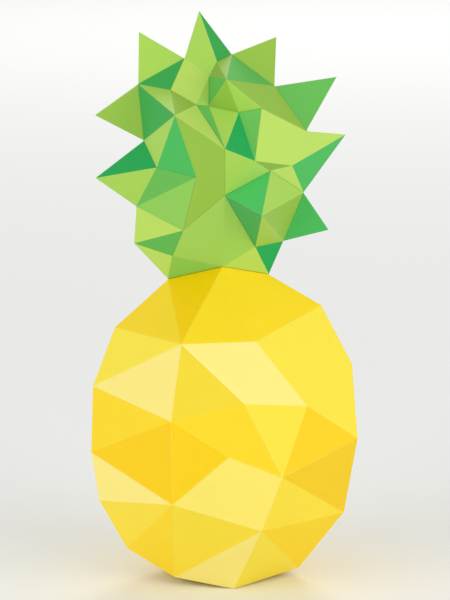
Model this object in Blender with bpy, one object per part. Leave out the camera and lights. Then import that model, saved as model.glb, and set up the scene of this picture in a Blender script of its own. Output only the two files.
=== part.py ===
"""A faceted pineapple ornament that stands upright: a golden fruit body, and a crown of painted leaves.

The fruit is one solid with flat facets. The crown is a core with nineteen leaf blocks seated round it.
Every leaf block is a wedge: its sides run along rays from the crown's centre, so neighbours meet face
to face with an even gap. A round dowel pins the crown to the fruit.

Frame: the origin is on the foot, in the middle of its flat face. +X is to the right, -Y is the front,
+Z is up. The corner plans below are in millimetres, and the driving dimensions stretch them to size.
"""

import bmesh
import bpy
import numpy as np

MM = 0.001

# Driving dimensions.
FRUIT_WIDTH = 119.5 * MM
FRUIT_DEPTH = 116.5 * MM
FRUIT_HEIGHT = 143.5 * MM
CROWN_WIDTH = 112 * MM
CROWN_DEPTH = 105 * MM
CROWN_HEIGHT = 109 * MM
CROWN_RISE = 46.5 * MM  # from the top of the fruit up to the crown's centre
BALL_DIAMETER = 40 * MM  # the round seat that the leaves sit on
DOWEL_DIAMETER = 8 * MM
DOWEL_IN_FRUIT = 16 * MM
DOWEL_IN_CROWN = 14 * MM

# Clearances and finish.
JOINT_GAP = 0.3 * MM  # between touching pieces
DOWEL_CLEARANCE = 0.3 * MM  # round the dowel and past its ends
CUTTER_OVERSHOOT = 15 * MM  # how far a bore's cutter runs out of the open end
WEDGE_END = 0.4 * BALL_DIAMETER  # the radius where a leaf's wedge stops, inside the seat cutter
STEM_END = BALL_DIAMETER / 6  # the radius where the core's neck stops, inside its ball
DOWEL_SIDES = 24
BALL_SUBDIVISIONS = 3
SHARP_ANGLE = np.radians(40)  # edges turned further than this are drawn sharp

# The fruit's corners: across, depth (front is negative) and height above the foot.
FRUIT_CORNERS = {
    # the neck, where the crown sits: left, front, right, back
    "B1": (-25.5, 0, 136),
    "B2": (-1, -11, 143.5),
    "B3": (19.5, -4.5, 139),
    "B4": (1, 11, 143.5),
    # the outline, down the right side
    "R1": (43, -7.5, 125.5),
    "R2": (56.5, -15, 100.5),
    "R3": (58.5, -35, 70.5),
    "R4": (53.5, -11, 31),
    "R5": (33.5, -2, 3),
    # the outline, down the left side
    "L1": (-49.5, 0, 114),
    "L2": (-59.5, 0, 87),
    "L3": (-60.5, -0.5, 56.5),
    "L4": (-57, 1.5, 33.5),
    "L5": (-44.5, -1.5, 12),
    # low corners just above the foot, then the foot: front, right, back, left
    "G1": (-22.5, -23, 4),
    "G2": (-17, 23, 4),
    "S1": (4, -28.5, 0),
    "S2": (24, 0, 0),
    "S3": (0, 24, 0),
    "S4": (-21, 0, 0),
    # inner corners of the front
    "F1": (-19, -51.5, 116),
    "F2": (13.5, -37, 114.5),
    "F3": (36, -42, 86.5),
    "F4": (8.5, -54.5, 90),
    "F5": (-23.5, -56, 82.5),
    "F6": (1.5, -58, 67),
    "F7": (25, -58.5, 58),
    "F8": (-23, -51, 44),
    "F9": (16, -52.5, 32.5),
    # inner corners of the back, and one more on the right flank
    "M1": (57.5, 11, 70),
    "K1": (-15.5, 52, 111),
    "K2": (23.5, 34.5, 124),
    "K3": (40.5, 45, 87.5),
    "K4": (-2, 56, 89.5),
    "K5": (-22.5, 56.5, 76),
    "K6": (-9, 58, 65),
    "K7": (33.5, 51, 58.5),
    "K8": (-21, 57.5, 47.5),
    "K9": (19.5, 47, 22.5),
}

# The fruit's facets, each as its corners in order. A facet is split from its first corner. The back
# repeats the front's plan, apart from the right flank.
FRUIT_FRONT = """
    L1 B1 F1, B1 B2 F1, F2 F1 B2 B3 R1, F1 F2 F3 F4, F1 L2 F5, L1 L2 F1, F1 F5 F4, F4 F3 F7, L2 L3 F5,
    L3 F5 F8, F5 F6 F8, F5 F4 F6, F4 F7 F6, L3 L4 F8, F7 F9 F8 F6, F7 R4 F9, R4 R5 F9, F9 R5 S1,
    F9 S1 G1, F8 F9 G1, F8 G1 L5, L4 L5 F8
"""
FRUIT_RIGHT_FLANK = """
    F3 F2 R1 R2 R3, F3 R3 F7, R3 R4 F7, R2 R3 M1, R3 R4 M1, K3 K2 R1 R2 M1, K3 M1 K7, M1 R4 K7
"""
FRUIT_UNDERSIDE = "S1 S2 S3 S4, G1 S1 S4, L5 G1 S4, G2 L5 S4, S3 G2 S4, S3 S2 R5, S2 S1 R5"
NECK = "B2 B1 B4, B2 B4 B3"

# The crown's corners, from its centre: across, depth (front is negative) and height.
CROWN_CORNERS = {
    # leaf tips round the outline, clockwise from the top
    "T1": (-11.5, -3, 67),
    "T2": (23, 8, 54.5),
    "T3": (50, 4, 37),
    "T4": (54, 0.5, 11.5),
    "T5": (46.5, -4, -31),
    "T6": (-40.9, 0, -37.7),
    "T7": (-57.9, -4, -7.6),
    "T8": (-58, -3, 20.5),
    "T9": (-38.5, 6, 57),
    # notches between those tips
    "N1": (3, -6, 48),
    "N2": (22, -7.5, 34),
    "N3": (36, -15.5, 15),
    "N4": (35, -8, -13.5),
    "N5": (26, -5, -36),
    "N6": (-39.5, -10, -19.5),
    "N7": (-36, -10, 10),
    "N8": (-38.5, -8, 35),
    "N9": (-18, -3.5, 46),
    # inner corners of the front: 2, 6, 10 and 15 are leaf tips
    "F1": (-24, -18.5, 33.5),
    "F2": (-21.5, -53, 26.5),
    "F3": (-12.5, -27, 28),
    "F4": (-7, -14, 39),
    "F5": (-7, -27, 27.5),
    "F6": (0.5, -36, 40),
    "F7": (-3.5, -14.5, 45.5),
    "F8": (6, -30, 25),
    "F9": (16, -31.5, 27),
    "F10": (0, -50.5, 11.5),
    "F11": (13, -41, 5),
    "F12": (29.5, -26, 1),
    "F13": (20, -36, 0),
    "F14": (0, -38, -10.5),
    "F15": (16, -51, -17.5),
    "F16": (13.5, -15, -37),
    "F17": (-30, -29, 0.5),
    "F18": (-12.5, -38.5, -2.5),
    "F19": (-18.5, -22, -28.5),
    "F20": (-23.5, -9, -42),
    # inner corners of the back, numbered as the front's
    "K1": (-25, 20, 29),
    "K2": (-24, 50, 12),
    "K3": (-14, 29, 24),
    "K4": (-8, 15, 36.5),
    "K5": (-6, 28, 23),
    "K6": (8, 36, 34),
    "K7": (-4, 15, 42),
    "K8": (8, 31, 20),
    "K9": (19, 30, 22),
    "K10": (2, 52, 8),
    "K11": (15, 40, 2),
    "K12": (30, 27, -3),
    "K13": (19, 36, -5),
    "K14": (-2, 38, -13),
    "K15": (14, 51, -20),
    "K16": (12, 18, -36),
    "K17": (-29, 30, -4),
    "K18": (-14, 38, -6),
    "K19": (-17, 24, -30),
    "K20": (-22, 12, -41),
    # keels behind the blades whose front is a single facet, numbered as their tips
    "H2": (16, 11.5, 38),
    "H3": (31, 9, 23.5),
    "H5": (32, 9, -25),
    "H8": (-38, 12, 13.5),
    "H9": (-29, 10, 39),
}

# The leaves. A pair is front facets and back facets; None repeats the front's plan on the back.
OUTLINE_LEAVES = {
    "leaf_top": ("T1 N9 F4 F7, N9 F1 F3 F4, T1 F7 N1, F4 F5 F3", None),
    "leaf_top_right": ("T2 N1 N2", "T2 N1 H2, T2 H2 N2"),
    "leaf_upper_right": ("T3 N2 N3", "T3 N2 H3, T3 H3 N3"),
    "leaf_right": ("N3 T4 F12 F11 F9, F11 F12 F13, T4 F12 N4, F12 F13 N4", None),
    "leaf_lower_right": ("N4 T5 N5", "N4 T5 H5, H5 T5 N5"),
    "leaf_bottom_left": ("N6 F19 T6, T6 F19 F20, T6 F20 B1", None),
    "leaf_lower_left": ("N7 F17 T7, T7 F17 N6, F17 F18 N6, N6 F18 F19", None),
    "leaf_left": ("T8 N8 N7", "T8 N8 H8, T8 H8 N7"),
    "leaf_upper_left": ("T9 N9 N8, N8 N9 F1", "T9 N9 H9, T9 H9 N8, N8 H9 K1, H9 N9 K1"),
}
FACE_LEAVES = {
    "left": (
        "N8 F1 F2, F1 F3 F2, N8 F2 N7, N7 F2 F17, F2 F18 F17, F2 F3 F10, F18 F2 F10 F14 F19",
        "N8 K1 K2, K1 K3 K2, N8 K2 H8, H8 K2 N7, N7 K2 K17, K2 K18 K17, K2 K3 K10, K18 K2 K10 K14 K19",
    ),
    "upper": (
        "N1 N2 F6, F7 N1 F6, F7 F6 F4, F4 F6 F5, F6 F8 F5, F6 F9 F8, F6 N2 N3 F9",
        "N1 H2 K6, H2 N2 K6, K7 N1 K6, K7 K6 K4, K4 K6 K5, K6 K8 K5, K6 K9 K8, K6 N2 H3 K9, H3 N3 K9",
    ),
    "right": (
        "F13 N4 F15, N4 F15 N5, F15 N5 F16, F13 F15 F14, F14 F15 F16",
        "K13 N4 K15, N4 K15 H5, H5 K15 N5, K15 N5 K16, K13 K15 K14, K14 K15 K16",
    ),
    "middle": ("F3 F5 F10, F5 F8 F10, F8 F9 F11, F10 F8 F11, F10 F11 F14, F11 F13 F14", None),
    "low": ("F20 F19 B2, F20 B2 B1, F19 F14 B2, F14 F16 B2, F16 B3 B2, F16 N5 B3", None),
}

# Paint and bare wood.
PAINT_ROUGHNESS = 0.55
WOOD_ROUGHNESS = 0.7
GOLD = (0.94, 0.66, 0.04)
LEAF_GREENS = ((0.37, 0.60, 0.09), (0.28, 0.51, 0.08), (0.08, 0.44, 0.10), (0.05, 0.37, 0.08))
BARE_WOOD = (0.55, 0.38, 0.21)


# --- reading the plans ---------------------------------------------------------------------------


def facets_of(plan):
    """A plan's facets, each as a list of corner names."""
    return [facet.split() for facet in plan.split(",")]


def on_the_back(plan):
    """The same plan with each front corner changed for its partner on the back."""
    partner = {"B2": "B4", "S1": "S3", "G1": "G2"}
    turned = [[partner.get(c, c.replace("F", "K")) for c in facet] for facet in facets_of(plan)]
    return ", ".join(" ".join(facet) for facet in turned)


def stretched(corners, width, depth, height, lift=0.0):
    """The corners as points, stretched so that together they measure width, depth and height."""
    points = np.array(list(corners.values()), float)
    scale = np.array([width, depth, height]) / np.ptp(points, axis=0)
    return dict(zip(corners, points * scale + [0, 0, lift]))


def triangles_of(plan, points, centre):
    """The plan's facets as triangles that face away from the centre, split from each first corner."""
    triangles = []
    for facet in facets_of(plan):
        for second, third in zip(facet[1:], facet[2:]):
            a, b, c = (points[name] - centre for name in (facet[0], second, third))
            outward = np.dot(np.cross(a, b), c) > 0
            triangles.append((facet[0], second, third) if outward else (facet[0], third, second))
    return triangles


# --- making objects ------------------------------------------------------------------------------


def clear_scene():
    for obj in list(bpy.data.objects):
        bpy.data.objects.remove(obj)


def material(name, colour, roughness):
    paint = bpy.data.materials.new(name)
    paint.use_nodes = True
    shader = paint.node_tree.nodes["Principled BSDF"]
    shader.inputs["Base Color"].default_value = (*colour, 1)
    shader.inputs["Roughness"].default_value = roughness
    shader.inputs["Metallic"].default_value = 0.0
    return paint


def solid(name, points, faces, paint):
    """An object from named points and from faces that list those names."""
    order = {key: index for index, key in enumerate(points)}
    mesh = bpy.data.meshes.new(name)
    mesh.from_pydata([tuple(p) for p in points.values()], [], [[order[c] for c in f] for f in faces])
    mesh.materials.append(paint)
    obj = bpy.data.objects.new(name, mesh)
    bpy.context.scene.collection.objects.link(obj)
    return obj


def cylinder(name, diameter, bottom, top, paint=None):
    """A round bar on the Z axis; without paint it is a cutter."""
    mesh = bpy.data.meshes.new(name)
    shape = bmesh.new()
    bmesh.ops.create_cone(
        shape,
        cap_ends=True,
        segments=DOWEL_SIDES,
        radius1=diameter / 2,
        radius2=diameter / 2,
        depth=top - bottom,
    )
    shape.to_mesh(mesh)
    shape.free()
    mesh.shade_smooth()
    mesh.set_sharp_from_angle(angle=SHARP_ANGLE)
    obj = bpy.data.objects.new(name, mesh)
    obj.location.z = (bottom + top) / 2
    bpy.context.scene.collection.objects.link(obj)
    if paint:
        mesh.materials.append(paint)
    else:
        helper(obj)
    return obj


def ball(name, diameter, centre, paint=None):
    """A ball of even triangles; without paint it is a cutter."""
    mesh = bpy.data.meshes.new(name)
    shape = bmesh.new()
    bmesh.ops.create_icosphere(shape, subdivisions=BALL_SUBDIVISIONS, radius=diameter / 2)
    shape.to_mesh(mesh)
    shape.free()
    obj = bpy.data.objects.new(name, mesh)
    obj.location = centre
    bpy.context.scene.collection.objects.link(obj)
    if paint:
        mesh.materials.append(paint)
    else:
        helper(obj)
    return obj


def helper(obj):
    obj.hide_render = True
    obj.display_type = "WIRE"


def boolean(obj, other, operation):
    modifier = obj.modifiers.new(f"{operation.lower()}_{other.name}", "BOOLEAN")
    modifier.operation = operation
    modifier.object = other


# --- the crown's wedges --------------------------------------------------------------------------


def rim_of(triangles):
    """The corners round the edge of a patch of triangles, in order."""
    edges = [pair for a, b, c in triangles for pair in ((a, b), (b, c), (c, a))]
    following = {a: b for a, b in edges if (b, a) not in edges}
    rim = [next(iter(following))]
    for _ in range(len(following) - 1):
        rim.append(following[rim[-1]])
    return rim


def insets(rim, points, centre):
    """How far each rim corner moves so that both of its side walls step in by half of the joint gap.

    A side wall lies on the centre and on one rim edge. For wall normals m and n, which both point into
    the patch, the corner moves by (m + n) / (1 + m.n) times the step, square to its own ray.
    """
    moves = {}
    for before, corner, after in zip(rim[-1:] + rim[:-1], rim, rim[1:] + rim[:1]):
        rays = [points[name] - centre for name in (before, corner, after)]
        walls = [np.cross(rays[0], rays[1]), np.cross(rays[1], rays[2])]
        m, n = (wall / np.linalg.norm(wall) for wall in walls)
        moves[corner] = JOINT_GAP / 2 * (m + n) / (1 + np.dot(m, n))
    return moves


def wedge(name, triangles, points, centre, inner_radius, paint):
    """A solid between a patch of triangles and the same patch drawn in to inner_radius."""
    rim = rim_of(triangles)
    moves = insets(rim, points, centre)
    outer = {}
    inner = {}
    for corner in dict.fromkeys(c for triangle in triangles for c in triangle):
        ray = points[corner] - centre
        move = moves.get(corner, np.zeros(3))
        outer[corner] = points[corner] + move
        inner["inner " + corner] = centre + ray / np.linalg.norm(ray) * inner_radius + move
    faces = [list(triangle) for triangle in triangles]
    faces += [["inner " + corner for corner in reversed(triangle)] for triangle in triangles]
    for a, b in zip(rim, rim[1:] + rim[:1]):
        faces.append([b, a, "inner " + a, "inner " + b])
    return solid(name, {**outer, **inner}, faces, paint)


# --- the pieces ----------------------------------------------------------------------------------


def make_fruit(corners):
    halves = FRUIT_FRONT, on_the_back(FRUIT_FRONT)
    plan = ",".join([*halves, FRUIT_RIGHT_FLANK, FRUIT_UNDERSIDE, NECK])
    middle = np.array([0, 0, FRUIT_HEIGHT / 2])
    faces = triangles_of(plan, corners, middle)
    fruit = solid("fruit_body", corners, faces, material("fruit_paint", GOLD, PAINT_ROUGHNESS))
    bottom = FRUIT_HEIGHT - DOWEL_IN_FRUIT - DOWEL_CLEARANCE
    top = FRUIT_HEIGHT + CUTTER_OVERSHOOT
    bore = cylinder("fruit_bore", DOWEL_DIAMETER + 2 * DOWEL_CLEARANCE, bottom, top)
    boolean(fruit, bore, "DIFFERENCE")


def make_dowel():
    low = FRUIT_HEIGHT - DOWEL_IN_FRUIT
    high = FRUIT_HEIGHT + DOWEL_IN_CROWN
    cylinder("crown_dowel", DOWEL_DIAMETER, low, high, material("dowel_wood", BARE_WOOD, WOOD_ROUGHNESS))


def make_core(points, centre):
    """A ball that the leaves sit on, joined to the neck that stands on the fruit."""
    paint = material("core_paint", LEAF_GREENS[1], PAINT_ROUGHNESS)
    core = ball("crown_core", BALL_DIAMETER - 2 * JOINT_GAP, centre, paint)
    neck = triangles_of(NECK, points, centre)
    stem = wedge("neck_wedge", neck, points, centre, STEM_END, None)
    helper(stem)
    boolean(core, stem, "UNION")
    bottom = FRUIT_HEIGHT - CUTTER_OVERSHOOT
    top = FRUIT_HEIGHT + DOWEL_IN_CROWN + DOWEL_CLEARANCE
    bore = cylinder("core_bore", DOWEL_DIAMETER + 2 * DOWEL_CLEARANCE, bottom, top)
    boolean(core, bore, "DIFFERENCE")


def leaf_plans():
    """Every leaf's name and the plan of its facets."""
    plans = {}
    for name, (front, back) in OUTLINE_LEAVES.items():
        plans[name] = front + ", " + (back or on_the_back(front))
    for side, (front, back) in FACE_LEAVES.items():
        plans["leaf_front_" + side] = front
        plans["leaf_back_" + side] = back or on_the_back(front)
    return plans


def make_crown(fruit_corners):
    centre = np.array([0, 0, FRUIT_HEIGHT + CROWN_RISE])
    points = stretched(CROWN_CORNERS, CROWN_WIDTH, CROWN_DEPTH, CROWN_HEIGHT, centre[2])
    for corner in ("B1", "B2", "B3", "B4"):
        points[corner] = fruit_corners[corner] + [0, 0, JOINT_GAP]
    seat = ball("seat_cutter", BALL_DIAMETER, centre)
    for index, (name, plan) in enumerate(leaf_plans().items()):
        paint = material(name + "_paint", LEAF_GREENS[index % len(LEAF_GREENS)], PAINT_ROUGHNESS)
        leaf = wedge(name, triangles_of(plan, points, centre), points, centre, WEDGE_END, paint)
        boolean(leaf, seat, "DIFFERENCE")
    make_core(points, centre)


def main():
    clear_scene()
    fruit_corners = stretched(FRUIT_CORNERS, FRUIT_WIDTH, FRUIT_DEPTH, FRUIT_HEIGHT)
    make_fruit(fruit_corners)
    make_dowel()
    make_crown(fruit_corners)


main()
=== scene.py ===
# %% [markdown]
# # A faceted pineapple ornament
#
# The ornament is a wooden pineapple cut in flat facets. The fruit is one block, and the crown is
# nineteen pointed blocks glued round a ball. Every facet is painted its own shade of yellow or green,
# so the paint draws the light and dark sides before any lamp does.
#
# We start from a measured model of the solids. It gives every corner in metres, with the foot on the
# floor at the origin, +X to the right, -Y to the front and +Z up. Each painted piece is then worked out
# from those corners, so nothing has to be fitted by hand.

# %% Load the measured model
import math

import bpy
import numpy as np
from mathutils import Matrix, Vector


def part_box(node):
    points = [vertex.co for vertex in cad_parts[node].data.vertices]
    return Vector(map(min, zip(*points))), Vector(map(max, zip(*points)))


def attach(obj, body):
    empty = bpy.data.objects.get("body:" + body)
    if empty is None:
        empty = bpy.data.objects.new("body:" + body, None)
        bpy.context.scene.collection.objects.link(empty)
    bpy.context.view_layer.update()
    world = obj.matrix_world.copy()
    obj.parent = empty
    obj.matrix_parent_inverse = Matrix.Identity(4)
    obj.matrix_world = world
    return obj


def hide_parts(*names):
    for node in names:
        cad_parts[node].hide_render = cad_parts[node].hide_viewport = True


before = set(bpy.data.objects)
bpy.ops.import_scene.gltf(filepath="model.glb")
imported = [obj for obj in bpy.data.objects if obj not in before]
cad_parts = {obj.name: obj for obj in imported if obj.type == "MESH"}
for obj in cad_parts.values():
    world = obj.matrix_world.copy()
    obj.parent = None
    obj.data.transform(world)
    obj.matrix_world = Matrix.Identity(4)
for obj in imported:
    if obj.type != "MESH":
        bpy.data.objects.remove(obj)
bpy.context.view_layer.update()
MM = 0.001

# %% [markdown]
# ## The stand, the light and the camera
#
# Shades of paint only read truly in even light. So the ornament stands on a pale floor, under a pale
# sky that lights it from all round, between two large softboxes that keep either side from falling
# into shade. A third one behind does the same for the back. The view is through a long lens from a step
# back, because that keeps the upright sides upright.

# %% Camera
CAMERA_TILT = math.radians(10)  # how far the camera looks down
CAMERA_DISTANCE = 1.5
LENS_LENGTH = 200  # in millimetres, as on a lens
LOOK_AT = (0, 0, 126.5 * MM)


def aimed(obj, place, target):
    """Puts a camera or lamp at a place and turns its -Z axis towards the target."""
    direction = Vector([t - p for t, p in zip(target, place)])
    obj.location = place
    obj.rotation_euler = direction.to_track_quat("-Z", "Y").to_euler()
    bpy.context.scene.collection.objects.link(obj)


lens = bpy.data.cameras.new("camera")
lens.lens = LENS_LENGTH
lens.sensor_width = 36
lens.clip_end = 60
camera = bpy.data.objects.new("camera", lens)
back_off = CAMERA_DISTANCE * math.cos(CAMERA_TILT)
rise = CAMERA_DISTANCE * math.sin(CAMERA_TILT)
aimed(camera, (0, -back_off, LOOK_AT[2] + rise), LOOK_AT)
bpy.context.scene.camera = camera
print("camera at", [round(v, 3) for v in camera.location])

# %% Light
SKY_STRENGTH = 0.6
PALER = 0.26  # how much brighter the sky looks than the light it gives
SOFTBOX_SIDE = 1.6  # metres
bpy.context.scene.view_settings.view_transform = "Standard"

sky = bpy.data.worlds.new("pale_sky")
sky.use_nodes = True
background = sky.node_tree.nodes["Background"]
background.inputs["Color"].default_value = (1, 1, 1, 1)
seen = sky.node_tree.nodes.new("ShaderNodeLightPath").outputs["Is Camera Ray"]
strength = sky.node_tree.nodes.new("ShaderNodeMath")
strength.operation = "MULTIPLY_ADD"
strength.inputs[1].default_value = PALER
strength.inputs[2].default_value = SKY_STRENGTH
sky.node_tree.links.new(seen, strength.inputs[0])
sky.node_tree.links.new(strength.outputs[0], background.inputs["Strength"])
bpy.context.scene.world = sky


def softbox(name, place, power):
    """A square soft lamp that faces the ornament, and is out of sight itself."""
    light = bpy.data.lights.new(name, "AREA")
    light.size = SOFTBOX_SIDE
    light.energy = power
    lamp = bpy.data.objects.new(name, light)
    lamp.visible_camera = False
    aimed(lamp, place, LOOK_AT)
    print(name, power, "W at", place)


softbox("left_softbox", (-1.5, -1.3, 0.75), 16)
softbox("right_softbox", (1.45, -1.25, 0.75), 16)
softbox("back_softbox", (0.3, 3.4, 2.0), 40)

# %% [markdown]
# ## Writing materials as sums
#
# A material in Blender is a graph of nodes. A graph is slow to write and hard to read, while a sum is
# neither. `Wire` holds one output of the graph and lets us add, subtract and multiply it like a number,
# and `Finish.node` adds every other kind of node. The floor is the first thing to use them: it grows
# clear far from the ornament, by one minus a smooth step, so that no horizon cuts across the view.

# %% A wire and a finish
class Wire:
    """One output socket in a material. Sums and products of wires add the Math nodes that they need."""

    def __init__(self, finish, socket):
        self.finish = finish
        self.socket = socket

    def maths(self, operation, first, second):
        return self.finish.node("ShaderNodeMath", {"operation": operation}, {0: first, 1: second})

    def __add__(self, other):
        return self.maths("ADD", self, other)

    def __sub__(self, other):
        return self.maths("SUBTRACT", self, other)

    def __rsub__(self, other):
        return self.maths("SUBTRACT", other, self)

    def __mul__(self, other):
        return self.maths("MULTIPLY", self, other)

    __radd__ = __add__
    __rmul__ = __mul__


class Finish:
    """A material on one Principled shader, with a method that adds any node."""

    def __init__(self, name, roughness, specular=0.5):
        self.material = bpy.data.materials.new(name)
        self.material.use_nodes = True
        self.tree = self.material.node_tree
        self.shader = self.tree.nodes["Principled BSDF"]
        self.put(Roughness=roughness, Metallic=0.0)
        self.shader.inputs["Specular IOR Level"].default_value = specular

    def feed(self, socket, value):
        """Links a wire to a socket, or sets the socket to a plain value."""
        if isinstance(value, Wire):
            self.tree.links.new(value.socket, socket)
        else:
            socket.default_value = value

    def node(self, kind, settings, sockets, output=0):
        """Adds a node: its settings go first, then a value or a wire for each of its sockets."""
        made = self.tree.nodes.new(kind)
        for name, value in settings.items():
            setattr(made, name, value)
        for name, value in sockets.items():
            self.feed(made.inputs[name], value)
        return Wire(self, made.outputs[output])

    def put(self, **sockets):
        """Feeds the shader's sockets; an underscore in a name stands for a space."""
        for name, value in sockets.items():
            self.feed(self.shader.inputs[name.replace("_", " ")], value)

    def place(self):
        """Where a point lies on the piece, in metres."""
        return self.node("ShaderNodeTexCoord", {}, {}, "Object")

    def attribute(self, name, output):
        """A value stored on the piece's mesh."""
        return self.node("ShaderNodeAttribute", {"attribute_name": name}, {}, output)

    def streaks(self, place, stretch, detail=3.0):
        """Noise between 0 and 1, about 0.5, with this many bumps to a metre along each axis."""
        spread = self.node("ShaderNodeMapping", {}, {"Vector": place, "Scale": stretch})
        sockets = {"Vector": spread, "Scale": 1.0, "Detail": detail, "Roughness": 0.55}
        return self.node("ShaderNodeTexNoise", {}, sockets)

    def between(self, wire, low, high):
        """0 below the low value, 1 above the high one, and a smooth step between them."""
        sockets = {"Value": wire, "From Min": low, "From Max": high}
        return self.node("ShaderNodeMapRange", {"interpolation_type": "SMOOTHSTEP"}, sockets)

    def blend(self, share, first, second, mode="MIX"):
        """One colour over another, by a share."""
        settings = {"data_type": "RGBA", "blend_type": mode, "clamp_result": True}
        return self.node("ShaderNodeMix", settings, {0: share, 6: first, 7: second}, 2)

    def bumps(self, height, depth):
        """A bump of this greatest depth in metres, fed to the shader."""
        self.put(Normal=self.node("ShaderNodeBump", {}, {"Distance": depth, "Height": height}))


def linear(hex_colour):
    """A screen colour such as #ffcc00 as the linear red, green and blue that shaders use."""
    screen = np.array([int(hex_colour[i : i + 2], 16) for i in (1, 3, 5)]) / 255
    return np.where(screen <= 0.04045, screen / 12.92, ((screen + 0.055) / 1.055) ** 2.4)


# %% Floor
FLOOR_HALF_WIDTH = 12.0
FADE_FROM, FADE_TO = 1.8, 4.5  # metres from the ornament: past them the floor has melted into the sky


def make_floor(half_width, steps):
    """A square sheet: two even rulers crossed as a grid at floor level."""
    ruler = np.linspace(-half_width, half_width, steps + 1)
    x, y = np.meshgrid(ruler, ruler)
    points = np.stack([x, y, np.zeros_like(x)], -1).reshape(-1, 3)
    first = (np.arange(steps)[:, None] * (steps + 1) + np.arange(steps)).reshape(-1)
    squares = np.stack([first, first + 1, first + steps + 2, first + steps + 1], -1)
    mesh = bpy.data.meshes.new("floor")
    mesh.from_pydata(points.tolist(), [], squares.tolist())
    floor = bpy.data.objects.new("floor", mesh)
    bpy.context.scene.collection.objects.link(floor)
    return floor


floor_finish = Finish("pale_floor", 0.9, 0.2)
length = {"operation": "LENGTH"}
from_middle = floor_finish.node("ShaderNodeVectorMath", length, {0: floor_finish.place()}, "Value")
fade = floor_finish.between(from_middle, FADE_FROM, FADE_TO)
floor_finish.put(Base_Color=(0.88, 0.88, 0.87, 1), Alpha=1 - fade)
floor = make_floor(FLOOR_HALF_WIDTH, 8)
floor.data.materials.append(floor_finish.material)
print("floor squares:", len(floor.data.polygons))

# %% [markdown]
# ## Finding the facets
#
# The measured solids arrive as loose triangles. We join the corners that share a place, and keep the
# triangles that face the outside. On a leaf those are easy to tell: its side walls run to the crown's
# centre and its inner end lies on a ball round that centre, so a facet is whatever does neither. On the
# fruit they are all the triangles that don't touch the hole for the dowel.

# %% Corners and triangles
GAP = 0.3 * MM  # between touching pieces, and round the dowel
SEAT_RADIUS = 20 * MM  # the leaves sit on a ball of this radius, and the core's ball is a gap smaller
HOLE_REACH = 5 * MM  # the dowel's hole lies nearer than this to the axis
CLEAR = 1 * MM  # more than rounding, and less than any real distance
CROWN_CENTRE = np.array([0, 0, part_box("crown_core")[1].z - (SEAT_RADIUS - GAP)])
NECK_TOP = np.array([0, 0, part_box("fruit_body")[1].z])


def unit(vectors):
    """The same directions, each with length one."""
    return vectors / np.maximum(np.linalg.norm(vectors, axis=-1, keepdims=True), 1e-12)


def solid_of(node):
    """A node's corners, each once, and its triangles as rows of three corner numbers."""
    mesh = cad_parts[node].data
    places = np.empty(len(mesh.vertices) * 3, np.float32)
    mesh.vertices.foreach_get("co", places)
    numbers = np.empty(len(mesh.loops), np.int32)
    mesh.loops.foreach_get("vertex_index", numbers)
    places = np.round(places.reshape(-1, 3).astype(float), 6)
    corners, same = np.unique(places, axis=0, return_inverse=True)
    return corners, same.reshape(-1)[numbers].reshape(-1, 3)


def normals_of(corners, triangles):
    """The direction that each triangle faces: two of its sides crossed."""
    a, b, c = (corners[triangles[:, i]] for i in range(3))
    return unit(np.cross(b - a, c - a))


def outside_of(node):
    """A node's corners, and those of its triangles that are facets of the outside."""
    corners, triangles = solid_of(node)
    if node == "fruit_body":
        from_axis = np.hypot(corners[:, 0], corners[:, 1])
        return corners, triangles[from_axis[triangles].min(axis=1) > HOLE_REACH]
    rays = corners - CROWN_CENTRE
    off_seat = np.linalg.norm(rays, axis=1)[triangles].min(axis=1) > SEAT_RADIUS + CLEAR
    off_centre = np.einsum("tx,tx->t", normals_of(corners, triangles), rays[triangles[:, 0]])
    return corners, triangles[off_seat & (off_centre > CLEAR)]


def from_the_top(corners, triangles):
    """The same triangles in painting order: the front's before the back's, each from the top down."""
    middles = np.round(corners[triangles].mean(axis=1), 5)
    behind = normals_of(corners, triangles)[:, 1] >= 0
    return triangles[np.lexsort((middles[:, 0], -middles[:, 2], behind))]


for node in ("fruit_body", "leaf_right"):
    print(node, "has", len(outside_of(node)[1]), "outside triangles")

# %% [markdown]
# ## Rounding an arris
#
# An arris is the line where two facets meet. On real wood it is never a perfect edge: the paint brush
# and a rub of fine paper leave it round by a third of a millimetre, and that thin strip is what catches
# the light. A Bevel modifier could round it, but here every facet also carries its own tint and its own
# brush direction, so we work the strip out ourselves.
#
# On each facet, step in from its three sides by a small width to get an inset triangle. Between the
# inset side of one facet and that of its neighbour, a quadratic curve pulled towards the arris leaves
# both facets smoothly, and its middle is a quarter of one side, half of the arris and a quarter of the
# other side. So twelve key points settle a facet: three rounded corners, three inset corners, and the
# two ends of its three rounded sides. Every point of its grid is a fixed blend of those twelve.

# %% The grid of one facet
STEPS = 12  # grid steps along each side of a facet


def grid_places(steps):
    """The points of a triangular grid as three whole numbers that add up to steps, and its triangles."""
    i, j = np.meshgrid(np.arange(steps + 1), np.arange(steps + 1), indexing="ij")
    inside = i + j <= steps
    places = np.stack([steps - i - j, i, j], -1)[inside]
    number = np.full(inside.shape, -1)
    number[inside] = np.arange(len(places))
    corner, right, up, far = number[:-1, :-1], number[1:, :-1], number[:-1, 1:], number[1:, 1:]
    standing = np.stack([corner, right, up], -1)[inside[1:, :-1]]
    hanging = np.stack([right, far, up], -1)[inside[1:, 1:]]
    return places, np.concatenate([standing, hanging])


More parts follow.
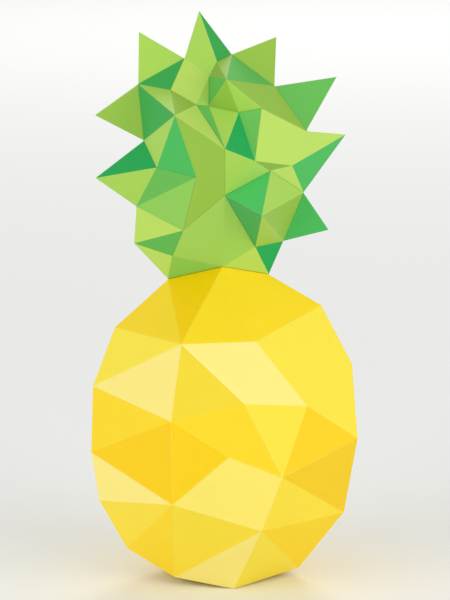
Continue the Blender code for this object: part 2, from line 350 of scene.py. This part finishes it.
def grid_blend(places, steps):
    """How much each grid point takes from the twelve key points: 3 corners, 3 insets, 3 starts, 3 ends."""
    blend = np.zeros((len(places), 12))
    zeros = (places == 0).sum(axis=1)
    blend[:, 0:3] = (zeros == 2)[:, None] * (places == steps)
    blend[:, 3:6] = (zeros == 0)[:, None] * (places - 1) / (steps - 3)
    for side in range(3):
        on_side = (zeros == 1) & (places[:, side - 1] == 0)
        along = (places[:, (side + 1) % 3] - 1) / (steps - 2)
        blend[:, 6 + side] = on_side * (1 - along)
        blend[:, 9 + side] = on_side * along
    return blend


def grid_borders(places):
    """The grid points along each of the three sides, in order."""
    borders = []
    for side in range(3):
        on_side = np.flatnonzero(places[:, side - 1] == 0)
        borders.append(on_side[np.argsort(places[on_side, (side + 1) % 3])])
    return np.array(borders)


PLACES, GRID = grid_places(STEPS)
BLEND = grid_blend(PLACES, STEPS)
BORDERS = grid_borders(PLACES)
print("a facet has", len(PLACES), "points and", len(GRID), "triangles")

# %% Neighbours
LEVEL = math.cos(math.radians(6.5))  # facets that face within this of each other count as one


def partners(triangles):
    """For each side of each triangle, the number of the same side next door, or -1 on the rim."""
    ends = np.stack([triangles, np.roll(triangles, -1, axis=1)], -1).reshape(-1, 2)
    span = triangles.max() + 1
    forward = ends[:, 0] * span + ends[:, 1]
    backward = ends[:, 1] * span + ends[:, 0]
    order = np.argsort(forward)
    found = order[np.minimum(np.searchsorted(forward, backward, sorter=order), len(order) - 1)]
    return np.where(forward[found] == backward, found, -1)


def levelled(normals, partner, rounds=12):
    """Facet directions, averaged in rounds between neighbours that count as one.

    A facet with more than three corners is split in triangles, and a hand-cut one isn't quite flat. The
    averaging makes its triangles face one way, so the split doesn't show.
    """
    facet = np.arange(len(partner)) // 3
    near = (partner >= 0) & (np.einsum("sx,sx->s", normals[facet], normals[partner // 3]) > LEVEL)
    for _ in range(rounds):
        total = normals.copy()
        np.add.at(total, facet[near], normals[partner[near] // 3])
        normals = unit(total)
    return normals


# %% Inset corners and wear
ARRIS_WIDTH = 0.35 * MM
NARROW_SHARE = 0.3  # the most of a narrow facet's inner radius that its arrises may take
WEAR_FROM, WEAR_TO = math.radians(8), math.radians(30)  # flatter arrises don't wear


def inset_corners(places):
    """Each facet's corners, moved in so that both sides are a width away: less on a narrow facet.

    A step of the width over the corner's sine along both of its sides does that.
    """
    ahead = np.roll(places, -1, axis=1) - places
    behind = np.roll(places, 1, axis=1) - places
    twice_area = np.linalg.norm(np.cross(ahead[:, 0], behind[:, 0]), axis=1)
    inner_radius = twice_area / np.linalg.norm(ahead, axis=2).sum(axis=1)
    width = np.minimum(ARRIS_WIDTH, NARROW_SHARE * inner_radius)[:, None, None]
    ahead, behind = unit(ahead), unit(behind)
    sine = np.linalg.norm(np.cross(ahead, behind), axis=2, keepdims=True)
    return places + width * (ahead + behind) / sine


def side_wear(normals, next_normals, along):
    """0 on a flat or hollow side, 1 on a sharp arris: the angle turned about the side, as a share.

    The two facets' directions crossed, taken along the side, give the sine of that angle.
    """
    turn = np.cross(np.broadcast_to(normals[:, None], along.shape), next_normals)
    angle = np.arcsin(np.clip(np.einsum("fsx,fsx->fs", turn, along), -1, 1))
    return np.clip((angle - WEAR_FROM) / (WEAR_TO - WEAR_FROM), 0, 1)


# %% The twelve key points
RIM_STEP = 0.1 * MM  # the first step past a rim, where a neighbour sits close
CORNER_PULL = 0.08  # how far a corner is rounded towards its facets' inset corners
ARRIS_SHARE, RIM_SHARE = 2, 10  # the arris's weight in a side's middle: a rim stays crisp, so joints close


def key_values(corners, triangles, apex):
    """The place, direction and wear of every facet's twelve key points, and the rim's first step in.

    Past the rim the surface goes on towards the apex, so there the apex stands in for a neighbour.
    """
    places = corners[triangles]
    partner = partners(triangles)
    rim = (partner < 0).reshape(-1, 3)

    def over(values, past_rim):
        """What lies over each side: the neighbour's value there or, past the rim, the one given."""
        return np.where(rim[..., None], past_rim, values[np.maximum(partner, 0)].reshape(places.shape))

    inset = inset_corners(places)
    start, end, inset_end = places, np.roll(places, -1, axis=1), np.roll(inset, -1, axis=1)
    step = RIM_STEP * unit(apex - start)
    beyond = over(inset_end.reshape(-1, 3), start + step)
    beyond_end = over(inset.reshape(-1, 3), end + np.roll(step, -1, axis=1))
    share = np.where(rim, RIM_SHARE, ARRIS_SHARE)[..., None]
    sides = (inset + share * start + beyond) / (share + 2)
    side_ends = (inset_end + share * end + beyond_end) / (share + 2)

    normals = normals_of(corners, triangles)
    walls = unit(np.cross(end - apex, start - apex))
    wear = side_wear(normals, over(np.repeat(normals, 3, axis=0), walls), unit(end - start))
    wear = np.where(rim, 0, wear)
    level = levelled(normals, partner)
    across = unit(level[:, None] + over(np.repeat(level, 3, axis=0), walls))

    total, tally, facing, corner_wear = np.zeros((4, len(corners), 3))
    np.add.at(total, triangles, inset)
    np.add.at(tally, triangles, 1.0)
    np.add.at(facing, triangles, level[:, None] + np.where(rim[..., None], walls, 0))
    np.maximum.at(corner_wear, triangles, wear[..., None])
    rounded = corners + CORNER_PULL * (total / np.maximum(tally, 1) - corners)
    flat = np.broadcast_to(level[:, None], places.shape)
    unworn = np.zeros_like(wear)
    keys = {
        "place": np.concatenate([rounded[triangles], inset, sides, side_ends], axis=1),
        "normal": np.concatenate([unit(facing)[triangles], flat, across, across], axis=1),
        "wear": np.concatenate([corner_wear[triangles][..., 0], unworn, wear, wear], axis=1),
    }
    return keys, rim, beyond, beyond_end


print("arris width in mm:", ARRIS_WIDTH / MM)

# %% [markdown]
# ## Sheets and pieces
#
# A piece is a few sheets that meet edge to edge. A sheet is a set of arrays: its points, its triangles,
# and for each triangle the tint and the directions that light sees at its corners. The outside sheet
# holds the facets. A leaf adds its side walls and its seat on the ball, and the fruit adds its neck and
# the hole for the dowel. When the sheets are joined, points that share a place become one, so that the
# piece is closed.

# %% The outside sheet
STROKE_SHIFT = 0.37  # metres, so that no two facets show the same strokes


def facet_sheet(keys, tints):
    """The facets: each key value spread over the grid. Brush strokes run along a facet's longest side."""
    points = np.einsum("qk,fkx->fqx", BLEND, keys["place"])
    normals = unit(np.einsum("qk,fkx->fqx", BLEND, keys["normal"]))
    wear = np.einsum("qk,fk->fq", BLEND, keys["wear"])
    inset = keys["place"][:, 3:6]
    sides = np.roll(inset, -1, axis=1) - inset
    longest = np.linalg.norm(sides, axis=2).argmax(axis=1)
    along = unit(sides[np.arange(len(sides)), longest])
    across = np.cross(keys["normal"][:, 3], along)
    strokes = np.einsum("fqx,fdx->fqd", points, np.stack([along, across], axis=1))
    strokes += STROKE_SHIFT * np.arange(len(points))[:, None, None]
    numbers = GRID + len(PLACES) * np.arange(len(points))[:, None, None]
    return {
        "points": points.reshape(-1, 3),
        "triangles": numbers.reshape(-1, 3),
        "normals": normals.reshape(-1, 3)[numbers.reshape(-1, 3)],
        "tints": np.repeat(tints, len(GRID), axis=0),
        "strokes": strokes.reshape(-1, 2),
        "wear": wear.reshape(-1),
    }


# %% Carried sheets
ROW_STROKE, POINT_STROKE = 5 * MM, 2 * MM  # how far strokes move on from row to row and point to point


def carried_sheet(rows, first_normals, tints):
    """A surface carried from row to row: rows is (edges, rows, columns, 3), and it turns the rim's way."""
    edges, count, columns, _ = rows.shape
    number = np.arange(edges * count * columns).reshape(edges, count, columns)
    a, b, c, d = number[:, :-1, :-1], number[:, :-1, 1:], number[:, 1:, :-1], number[:, 1:, 1:]
    triangles = np.stack([np.stack([b, a, c], -1), np.stack([b, c, d], -1)], -2).reshape(-1, 3)
    points = rows.reshape(-1, 3)
    normals = np.repeat(normals_of(points, triangles)[:, None], 3, axis=1)
    known = np.zeros((edges, count, columns, 3))
    known[:, 0] = first_normals
    known = known.reshape(-1, 3)[triangles]
    normals = np.where(np.abs(known).sum(-1, keepdims=True) > 0, known, normals)
    across = np.broadcast_to(np.arange(columns) * POINT_STROKE, number.shape)
    down = np.broadcast_to(np.arange(count)[:, None] * ROW_STROKE, number.shape)
    return {
        "points": points,
        "triangles": triangles,
        "normals": normals,
        "tints": np.repeat(tints, len(triangles) // edges, axis=0),
        "strokes": np.stack([down, across], -1).reshape(-1, 2),
        "wear": np.zeros(len(points)),
    }


def seat_sheet(sheet):
    """A leaf's inner end: its outside drawn in along rays to the ball, and turned to face the centre."""
    rays = unit(sheet["points"] - CROWN_CENTRE)
    triangles = sheet["triangles"][:, ::-1]
    points = CROWN_CENTRE + SEAT_RADIUS * rays
    wear = np.zeros(len(rays))
    return dict(sheet, points=points, triangles=triangles, normals=-rays[triangles], wear=wear)


def rim_rows(keys, rim, beyond, beyond_end):
    """The rounded rim, side by side, and the row one step past it; with the rim's directions."""
    facet, side = np.nonzero(rim)
    points = np.einsum("qk,fkx->fqx", BLEND, keys["place"])[facet[:, None], BORDERS[side]]
    normals = unit(np.einsum("qk,fkx->fqx", BLEND, keys["normal"]))[facet[:, None], BORDERS[side]]
    share = np.linspace(0, 1, STEPS + 1)[:, None]
    second = beyond[facet, side][:, None] * (1 - share) + beyond_end[facet, side][:, None] * share
    return points, normals, second, facet


# %% Meshes
def welded_mesh(name, sheets):
    """One smooth mesh from sheets that meet edge to edge, with its tints, wear, strokes and directions.

    Points that share a place become one, and a triangle that this leaves with no area goes.
    """
    starts = np.cumsum([0] + [len(s["points"]) for s in sheets])
    joined = {key: np.concatenate([s[key] for s in sheets]) for key in sheets[0]}
    triangles = np.concatenate([s["triangles"] + first for s, first in zip(sheets, starts)])
    places, same = np.unique(np.round(joined["points"], 7), axis=0, return_inverse=True)
    welded = same.reshape(-1)[triangles]
    whole = (welded != np.roll(welded, 1, axis=1)).all(axis=1)
    triangles, welded = triangles[whole], welded[whole]
    mesh = bpy.data.meshes.new(name)
    mesh.from_pydata(places.tolist(), [], welded.tolist())
    mesh.polygons.foreach_set("use_smooth", np.ones(len(welded), bool))
    corners = triangles.reshape(-1)
    tint = mesh.attributes.new("tint", "FLOAT_COLOR", "CORNER")
    colours = np.repeat(joined["tints"][whole], 3, axis=0)
    tint.data.foreach_set("color", np.column_stack([colours, np.ones(len(colours))]).reshape(-1))
    wear = mesh.attributes.new("wear", "FLOAT", "CORNER")
    wear.data.foreach_set("value", joined["wear"][corners])
    strokes = mesh.uv_layers.new(name="strokes")
    strokes.uv.foreach_set("vector", joined["strokes"][corners].reshape(-1))
    mesh.normals_split_custom_set(joined["normals"][whole].reshape(-1, 3).tolist())
    ends = np.sort(np.stack([welded, np.roll(welded, -1, axis=1)], -1).reshape(-1, 2), axis=1)
    closed = (np.unique(ends, axis=0, return_counts=True)[1] == 2).all()
    print(name, len(welded), "triangles,", "closed" if closed else "OPEN")
    return mesh


# %% Pieces
def make_piece(node, sheets, finish):
    """A painted piece that stands for a node, at the origin with its place in its mesh."""
    mesh = welded_mesh("painted_" + node, sheets)
    mesh.materials.append(finish.material)
    piece = bpy.data.objects.new("painted_" + node, mesh)
    bpy.context.scene.collection.objects.link(piece)
    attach(piece, "root")
    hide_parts(node)
    return piece


# %% [markdown]
# ## The paint plan
#
# Neighbouring facets never match by chance: the painter mixed nine yellows and thirteen greens and
# laid them out as painted light and painted shade, so that the fruit looks lit from the upper left, and
# so that the leaves stand clear of each other.
# Each line below lists one piece's facets in painting order, the front's from the top down and then the
# back's. A facet with more than three corners is split, and is listed once for each of its triangles.

# %% Tints
# The lighter and darker tints here are painted light and painted shade over the yellow and green paint.
YELLOWS = {
    "amber": "#fbcf00",
    "honey": "#f6cf1a",
    "gold": "#fbd924",
    "maize": "#f5d328",
    "corn": "#ecd236",
    "butter": "#fae03e",
    "lemon": "#f9e346",
    "straw": "#f6e46b",
    "cream": "#fbe982",
}
GREENS = {
    "sprout": "#badc63",
    "lime": "#a7d257",
    "pear": "#a2d360",
    "moss": "#95c047",
    "olive": "#96bd45",
    "apple": "#8ecb59",
    "sage": "#86b145",
    "fern": "#67bb54",
    "clover": "#5fb751",
    "grass": "#4bbc5d",
    "pine": "#46ac5a",
    "emerald": "#38a74c",
    "jade": "#22a853",
}

# %% Plan
FRUIT_PLAN = """
    gold amber gold gold gold lemon lemon cream lemon cream corn cream lemon maize butter gold maize
    honey honey amber straw honey straw cream butter butter butter gold gold cream lemon maize butter gold

    gold amber gold gold maize lemon cream lemon lemon cream butter cream butter gold lemon maize gold
    straw maize honey amber amber straw gold cream straw butter butter butter gold gold cream lemon butter
    gold maize honey honey
"""
LEAF_PLANS = {
    "leaf_top": "emerald lime lime sprout sprout lime emerald lime lime sprout sprout moss",
    "leaf_top_right": "moss lime jade",
    "leaf_upper_right": "fern emerald sprout",
    "leaf_right": "sprout sprout sprout sage grass sprout sprout sprout sprout grass olive sprout",
    "leaf_lower_right": "grass emerald lime",
    "leaf_bottom_left": "sprout clover sprout sprout clover sprout",
    "leaf_lower_left": "jade fern lime apple jade fern lime apple",
    "leaf_left": "moss fern emerald",
    "leaf_upper_left": "lime emerald sprout moss fern jade",
    "leaf_front_left": "lime olive emerald sprout lime moss grass moss moss",
    "leaf_front_upper": "moss sage clover clover moss lime moss moss",
    "leaf_front_right": "grass lime pine moss lime",
    "leaf_front_middle": "fern lime fern jade lime pear",
    "leaf_front_low": "pear pear pear jade sprout apple",
    "leaf_back_left": "lime olive emerald sprout grass lime moss grass moss moss",
    "leaf_back_upper": "moss clover sage emerald clover lime moss moss lime jade",
    "leaf_back_right": "grass lime moss pine apple lime",
    "leaf_back_middle": "fern lime fern jade lime pear",
    "leaf_back_low": "pear lime lime jade sprout apple",
}


def tints_from(plan, palette, count):
    """The tints that a plan names, as linear colours; the plan must name one for every facet."""
    names = plan.split()
    if len(names) != count:
        raise ValueError(f"the plan names {len(names)} tints for {count} facets")
    return np.array([linear(palette[name]) for name in names])


print("tints:", len(YELLOWS), "yellows and", len(GREENS), "greens")

# %% [markdown]
# ## Painted wood
#
# The paint is matte, brushed on thin over sanded wood. Close to, each facet has fine bristle lines
# along its longest side, a faint cloudiness where the coat is thicker, and the wood's grain just showing
# through as relief. Along the sharper arrises the coat is rubbed a little paler. One recipe serves both
# the fruit and the leaves; the leaves are smaller, so their brush was finer.

# %% Paint
RUBBED_PALE = (1, 1, 0.93, 1)  # what shows in the tint where the coat is rubbed


def facet_paint(name, bristles_to_metre, relief):
    """Matte paint in its facet's tint and painted shade, with bristle lines, clouds, rubbed arrises and
    grain.

    Bristles and clouds average a half, so a tone of 0.95 plus a twentieth of each keeps the tint as it
    was mixed. The coat is rubbed where fine specks plus the wear pass a threshold.
    """
    paint = Finish(name, 0.5, 0.15)
    place = paint.place()
    stroke_place = paint.node("ShaderNodeUVMap", {"uv_map": "strokes"}, {})
    bristles = paint.streaks(stroke_place, (28, bristles_to_metre, 1))
    clouds = paint.streaks(place, (45, 45, 45), 2.0)
    specks = paint.streaks(place, (1500, 1500, 1500), 1.0)
    grain = paint.streaks(place, (700, 700, 22), 2.0)
    tone = 0.95 + bristles * 0.05 + clouds * 0.05
    tint = paint.blend(1.0, paint.attribute("tint", "Color"), tone, "MULTIPLY")
    rubbed = paint.between(specks + paint.attribute("wear", "Fac") * 0.4, 0.75, 1.05)
    pale = paint.blend(0.25, tint, RUBBED_PALE)
    paint.put(Base_Color=paint.blend(rubbed, tint, pale))
    paint.put(Roughness=0.44 + bristles * 0.14 + rubbed * 0.15)
    paint.bumps(bristles * 0.5 + grain * 0.35 + specks * 0.15, relief)
    return paint


fruit_paint = facet_paint("fruit_paint", 900, 0.030 * MM)
leaf_paint = facet_paint("leaf_paint", 1200, 0.024 * MM)
print("paints:", fruit_paint.material.name, leaf_paint.material.name)

# %% [markdown]
# ## The fruit
#
# The fruit is one closed block. Past the rim of its facets comes the neck, two flats that the crown
# stands on, and in the middle of the neck is the round hole for the dowel. Neck and hole are one surface
# carried inwards in rows: the rim, a step past it, the mouth of the hole, its foot, and the foot's
# middle point.

# %% Fruit
def make_fruit():
    """The facets, and the neck and hole carried in from their rim."""
    corners, triangles = outside_of("fruit_body")
    triangles = from_the_top(corners, triangles)
    tints = tints_from(FRUIT_PLAN, YELLOWS, len(triangles))
    keys, rim, beyond, beyond_end = key_values(corners, triangles, NECK_TOP)
    first, first_normals, second, facet = rim_rows(keys, rim, beyond, beyond_end)
    dowel_low, dowel_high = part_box("crown_dowel")
    spoke = second - NECK_TOP
    from_axis = np.linalg.norm(spoke[..., :2], axis=-1, keepdims=True)
    mouth = NECK_TOP + spoke * (dowel_high.x + GAP) / from_axis
    foot = mouth.copy()
    foot[..., 2] = dowel_low.z - GAP
    middle = foot * [0, 0, 1]  # every row's points drawn in to the axis
    rows = np.stack([first, second, mouth, foot, middle], axis=1)
    sheets = [facet_sheet(keys, tints), carried_sheet(rows, first_normals, tints[facet])]
    return make_piece("fruit_body", sheets, fruit_paint)


fruit = make_fruit()

# %% [markdown]
# ## The leaves
#
# Each leaf is a wedge: its walls run from the rim of its facets towards the crown's centre, and stop at
# the ball. The solids keep a gap of 0.3 mm between leaves, where the glue goes. Painted over, the joint
# closes to a hairline, so we first let each rim out by most of its half of the gap. A corner lies on two
# walls, and moving both out by a step moves it by twice the step times the sum of their directions over
# the square of that sum's length.

# %% Leaves
LET_OUT = 0.14 * MM
SIT_DOWN = 0.26 * MM  # the lowest corners come down by this, on to the fruit
WALL_ROWS = 5


def let_out(corners, triangles, step):
    """Rim corners moved so that the walls through them stand out by the step."""
    rays = corners - CROWN_CENTRE
    rim = partners(triangles) < 0
    start = triangles.reshape(-1)[rim]
    end = np.roll(triangles, -1, axis=1).reshape(-1)[rim]
    walls = unit(np.cross(rays[end], rays[start]))
    total = np.zeros_like(corners)
    np.add.at(total, start, walls)
    np.add.at(total, end, walls)
    square = np.einsum("cx,cx->c", total, total)[:, None]
    moved = corners + np.where(square > 0, 2 * step * total / np.maximum(square, 1e-9), 0)
    moved[corners[:, 2] < NECK_TOP[2] + CLEAR] -= [0, 0, SIT_DOWN]
    return moved


def make_leaf(node, plan):
    """The facets, the walls carried down to the ball, and the seat."""
    corners, triangles = outside_of(node)
    triangles = from_the_top(corners, triangles)
    tints = tints_from(plan, GREENS, len(triangles))
    corners = let_out(corners, triangles, LET_OUT)
    keys, rim, beyond, beyond_end = key_values(corners, triangles, CROWN_CENTRE)
    first, first_normals, second, facet = rim_rows(keys, rim, beyond, beyond_end)
    last = CROWN_CENTRE + SEAT_RADIUS * unit(first - CROWN_CENTRE)
    share = np.linspace(0, 1, WALL_ROWS)[:, None, None]
    walls = second[:, None] * (1 - share) + last[:, None] * share
    rows = np.concatenate([first[:, None], walls], axis=1)
    outside = facet_sheet(keys, tints)
    sheets = [outside, carried_sheet(rows, first_normals, tints[facet]), seat_sheet(outside)]
    return make_piece(node, sheets, leaf_paint)


leaves = [make_leaf(node, plan) for node, plan in LEAF_PLANS.items()]
print("leaves:", len(leaves))

# %% [markdown]
# ## The core and the dowel
#
# Both are hidden once the ornament is glued up, and their measured shape is already right, so they stay
# as they are and only get a finish. The core had one thin coat of green before the leaves went on, and
# the wood shows through it. The dowel is bare beech: pale, with long grain and short dark flecks.

# %% Hidden parts
def woody(finish, place, light, dark):
    """Long grain up the piece between two colours, and the wire that draws it."""
    grain = finish.streaks(place, (900, 900, 18))
    return finish.blend(grain, (*linear(dark), 1), (*linear(light), 1)), grain


def core_coat():
    """A thin green coat, broken where the noise is low, so that the wood shows there."""
    coat = Finish("thin_green_coat", 0.6, 0.3)
    place = coat.place()
    wood, grain = woody(coat, place, "#c9ab7f", "#a98655")
    cover = coat.between(coat.streaks(place, (160, 160, 60)), 0.25, 0.5)
    coat.put(Base_Color=coat.blend(cover, wood, (*linear("#5aa552"), 1)))
    coat.put(Roughness=0.55 + grain * 0.15)
    coat.bumps(grain, 0.04 * MM)
    return coat


def bare_beech():
    """Pale wood with short dark flecks, which are the peaks of a finer noise."""
    beech = Finish("bare_beech", 0.65, 0.3)
    place = beech.place()
    wood, grain = woody(beech, place, "#dcbf94", "#bd9663")
    flecks = beech.between(beech.streaks(place, (1600, 1600, 300)), 0.60, 0.70)
    beech.put(Base_Color=beech.blend(flecks * 0.6, wood, (*linear("#8d6a42"), 1)))
    beech.put(Roughness=0.6 + grain * 0.1)
    beech.bumps(grain, 0.05 * MM)
    return beech


for node, finish in (("crown_core", core_coat()), ("crown_dowel", bare_beech())):
    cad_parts[node].data.materials[0] = finish.material
    print(node, "is finished in", finish.material.name)
